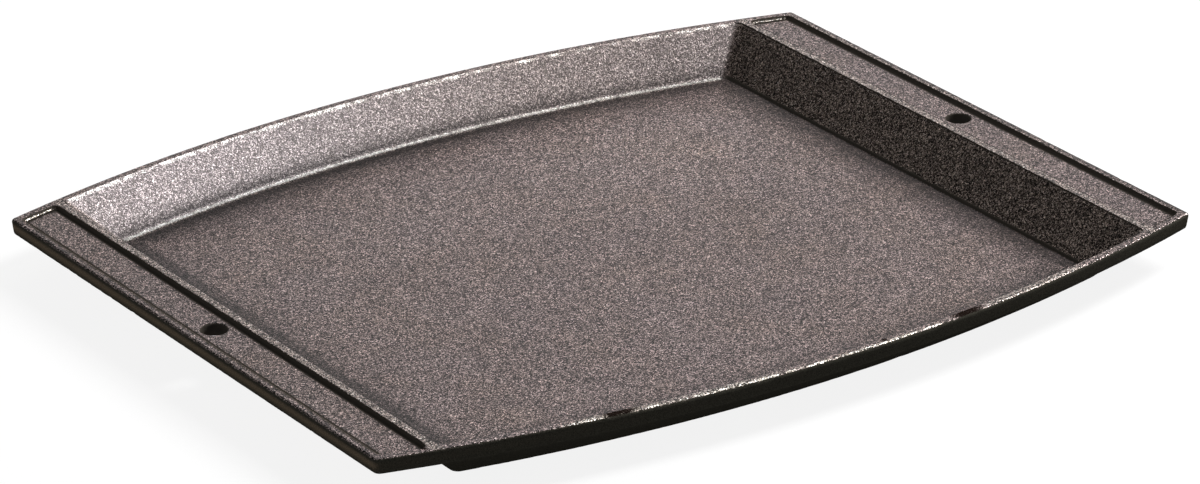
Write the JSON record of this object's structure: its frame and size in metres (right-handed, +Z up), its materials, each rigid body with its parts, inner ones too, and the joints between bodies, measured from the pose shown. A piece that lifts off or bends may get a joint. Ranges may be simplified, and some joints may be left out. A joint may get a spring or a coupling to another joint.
{
  "type": "cast iron platter",
  "caption": "Shallow oblong cast iron platter with bowed long sides, a sloped-wall dish and a flat ribbed handle with a hanging hole at each end.",
  "frame": {"origin": "middle of the dish's flat underside, on the surface the platter stands on", "axes": "+X along the length towards one handle, +Y across the width towards one bowed side, +Z up out of the dish"},
  "size_m": [0.381, 0.3112, 0.02],
  "materials": {
    "seasoned_cast_iron": "sand-cast skin under a baked oil seasoning, dark grey-brown with a dull metallic sheen"
  },
  "bodies": {
    "root": {"platter_casting": "seasoned_cast_iron"}
  },
  "joints": []
}
